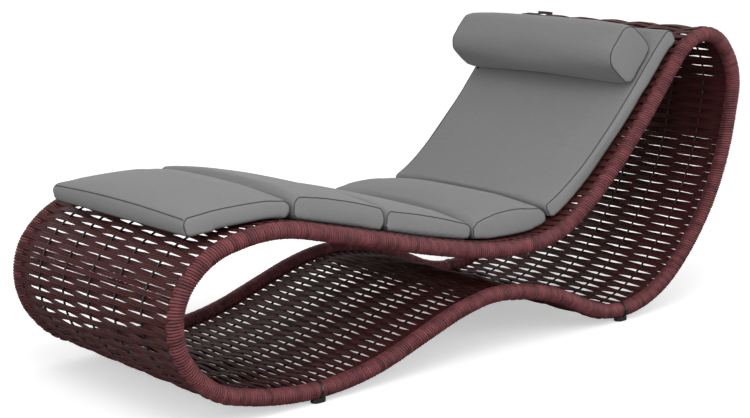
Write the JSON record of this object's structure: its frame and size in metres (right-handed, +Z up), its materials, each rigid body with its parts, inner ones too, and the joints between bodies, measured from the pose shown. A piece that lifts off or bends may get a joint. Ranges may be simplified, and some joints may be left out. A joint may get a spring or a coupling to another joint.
{
  "type": "woven lounge chaise",
  "caption": "Long open-loop woven chaise on two wrapped side rails, with box pads along seat and back and a strapped head pillow.",
  "frame": {"origin": "on the floor, under the middle of the two rails", "axes": "+X to the head end, +Y to the sitter's right, +Z up"},
  "size_m": [1.7752, 0.6808, 0.7418],
  "materials": {
    "wrapped_pole": "rattan winding over a bent pole, satin lacquer",
    "weave": "woven rattan strands, satin lacquer",
    "cross_bar": "rattan pole in the weave, satin lacquer",
    "stake": "dark split cane, satin",
    "pad_cover": "plain grey woven cover with a darker piping",
    "pillow_cover": "plain grey woven cover with a darker piping",
    "glide": "moulded black, matte",
    "tie": "black band, matte",
    "strap": "black webbing",
    "buckle": "moulded black, matte"
  },
  "bodies": {
    "frame": {"back_pad": "pad_cover", "calf_pad": "pad_cover", "foot_pad": "pad_cover", "glide_ties": "tie", "glides": "glide", "head_bar": "cross_bar", "heel_bar": "cross_bar", "hump_bar": "cross_bar", "leg_bar": "cross_bar", "lower_rail_left": "wrapped_pole", "lower_rail_right": "wrapped_pole", "lumbar_bar": "cross_bar", "pillow_strap": "strap", "rear_bar": "cross_bar", "seat_bar": "cross_bar", "seat_pad": "pad_cover", "sole_bar": "cross_bar", "stake_1": "stake", "stake_2": "stake", "stake_3": "stake", "stake_4": "stake", "stake_5": "stake", "strap_buckle": "buckle", "thigh_pad": "pad_cover", "toe_bar": "cross_bar", "upper_rail_left": "wrapped_pole", "upper_rail_right": "wrapped_pole", "weave_arch": "weave", "weave_back": "weave", "weave_calf": "weave", "weave_head": "weave", "weave_rear": "weave", "weave_seat": "weave", "weave_sole": "weave", "weave_thigh": "weave", "weave_toe": "weave"},
    "pillow": {"head_pillow": "pillow_cover"}
  },
  "joints": [
    {"name": "pillow_slide", "type": "slide", "parent": "frame", "child": "pillow", "axis": [0.6535, 0, 0.7569], "range_m": [-0.07, 0]}
  ]
}
